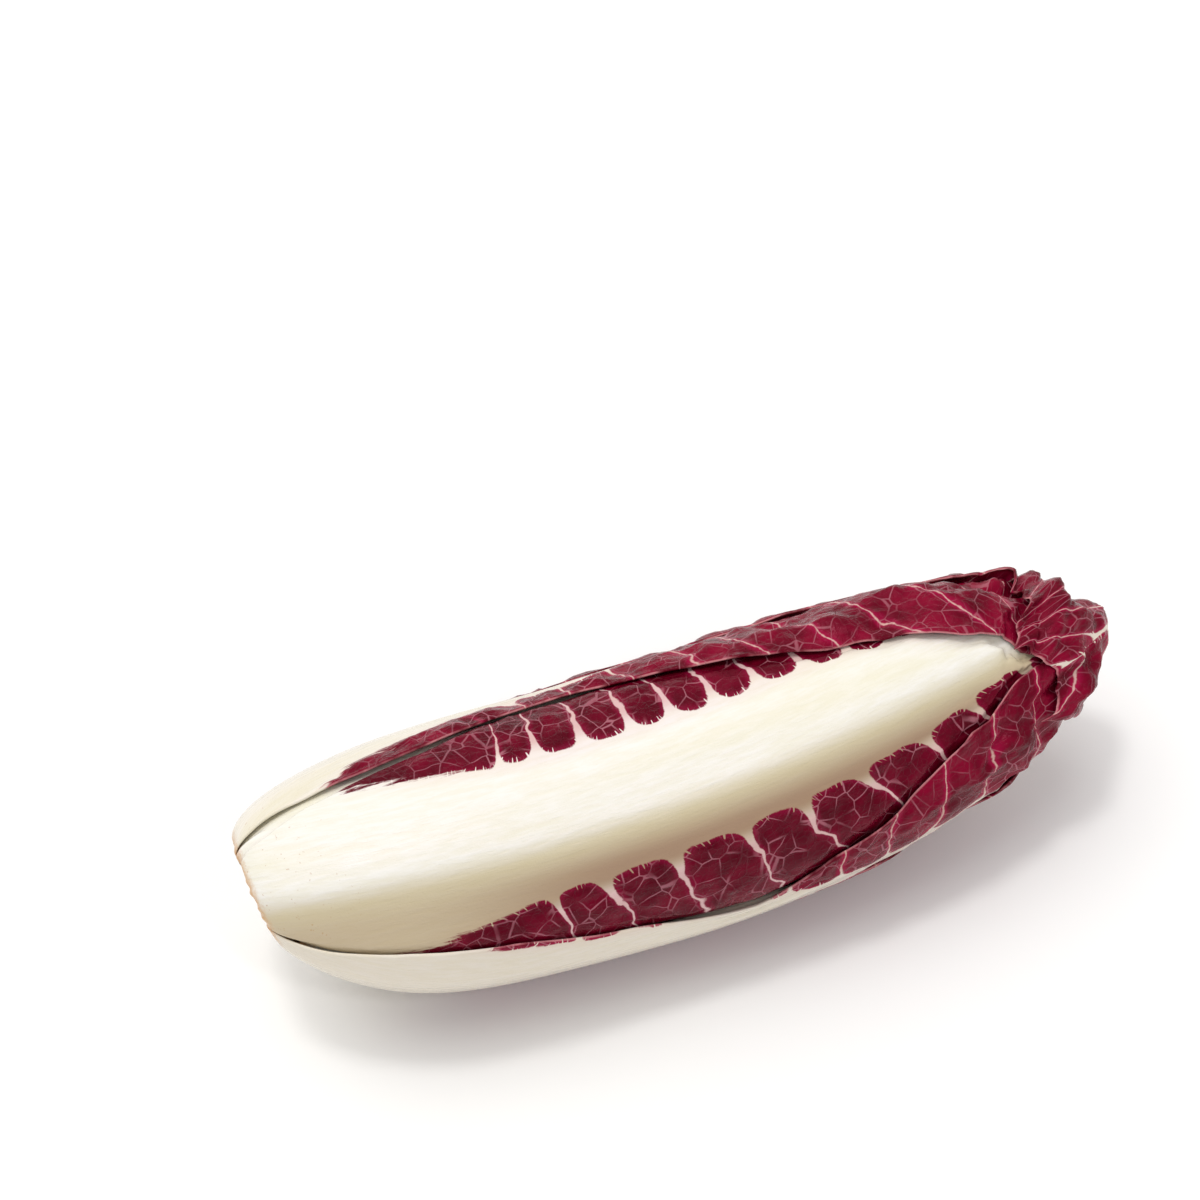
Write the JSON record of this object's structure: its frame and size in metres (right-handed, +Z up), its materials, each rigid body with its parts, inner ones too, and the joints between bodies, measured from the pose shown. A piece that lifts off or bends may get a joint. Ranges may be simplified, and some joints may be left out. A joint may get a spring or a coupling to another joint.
{
  "type": "radicchio head",
  "caption": "Long red radicchio head lying on its side, a trimmed stem core wrapped in layered leaves with thick pale ribs that fold together at the tip.",
  "frame": {"origin": "middle of the small flat resting spot under the bottom leaf", "axes": "+X along the head from the cut base towards the folded tip, +Z up away from the resting spot, -Y the side that faces the viewer"},
  "size_m": [0.2251, 0.0696, 0.0695],
  "materials": {
    "outer_leaf_skin": "waxy leaf, deep crimson blade with broad cream ribs and pale veins",
    "middle_leaf_skin": "waxy leaf, crimson blade with cream ribs",
    "inner_leaf_skin": "satin leaf, crimson blade with cream ribs",
    "stem_flesh": "cut stem flesh, cream with a tan dried rim"
  },
  "bodies": {
    "root": {"leaf_outer_bottom": "outer_leaf_skin", "leaf_outer_back": "outer_leaf_skin", "leaf_outer_low_front": "outer_leaf_skin", "leaf_outer_top": "outer_leaf_skin", "leaf_outer_front": "outer_leaf_skin", "leaf_middle_1": "middle_leaf_skin", "leaf_middle_2": "middle_leaf_skin", "leaf_middle_3": "middle_leaf_skin", "leaf_middle_4": "middle_leaf_skin", "leaf_middle_5": "middle_leaf_skin", "leaf_inner_1": "inner_leaf_skin", "leaf_inner_2": "inner_leaf_skin", "leaf_inner_3": "inner_leaf_skin", "leaf_inner_4": "inner_leaf_skin", "leaf_heart_1": "inner_leaf_skin", "leaf_heart_2": "inner_leaf_skin", "leaf_heart_3": "inner_leaf_skin", "stem_core": "stem_flesh"}
  },
  "joints": []
}
